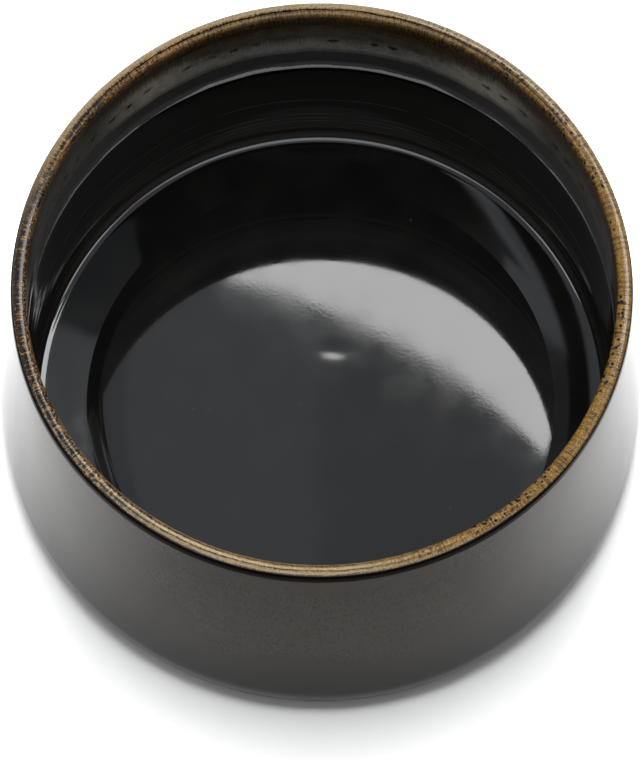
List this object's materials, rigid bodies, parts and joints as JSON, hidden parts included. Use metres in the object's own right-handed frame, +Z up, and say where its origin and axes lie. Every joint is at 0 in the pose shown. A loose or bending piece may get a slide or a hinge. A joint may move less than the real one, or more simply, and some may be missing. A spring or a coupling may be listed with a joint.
{
  "type": "pottery bowl",
  "caption": "Deep stoneware bowl with nearly upright walls that widen to a low rounded belly, a rounded amber lip, a glossy dark inside and a bare ring foot.",
  "frame": {"origin": "centre of the foot ring on the surface that the bowl stands on", "axes": "+Z up along the bowl's turning axis, out of its mouth"},
  "size_m": [0.15, 0.15, 0.081],
  "materials": {
    "bare_stoneware": "matte",
    "black_gloss_glaze": "gloss",
    "olive_glaze": "gloss",
    "amber_glaze": "gloss",
    "warm_grey_glaze": "satin",
    "underside_glaze": "satin"
  },
  "bodies": {
    "root": {"clay_body": "bare_stoneware", "liner_glaze": "black_gloss_glaze", "band_glaze": "olive_glaze", "rim_glaze": "amber_glaze", "outer_glaze": "warm_grey_glaze", "underside_glaze": "underside_glaze"}
  },
  "joints": []
}
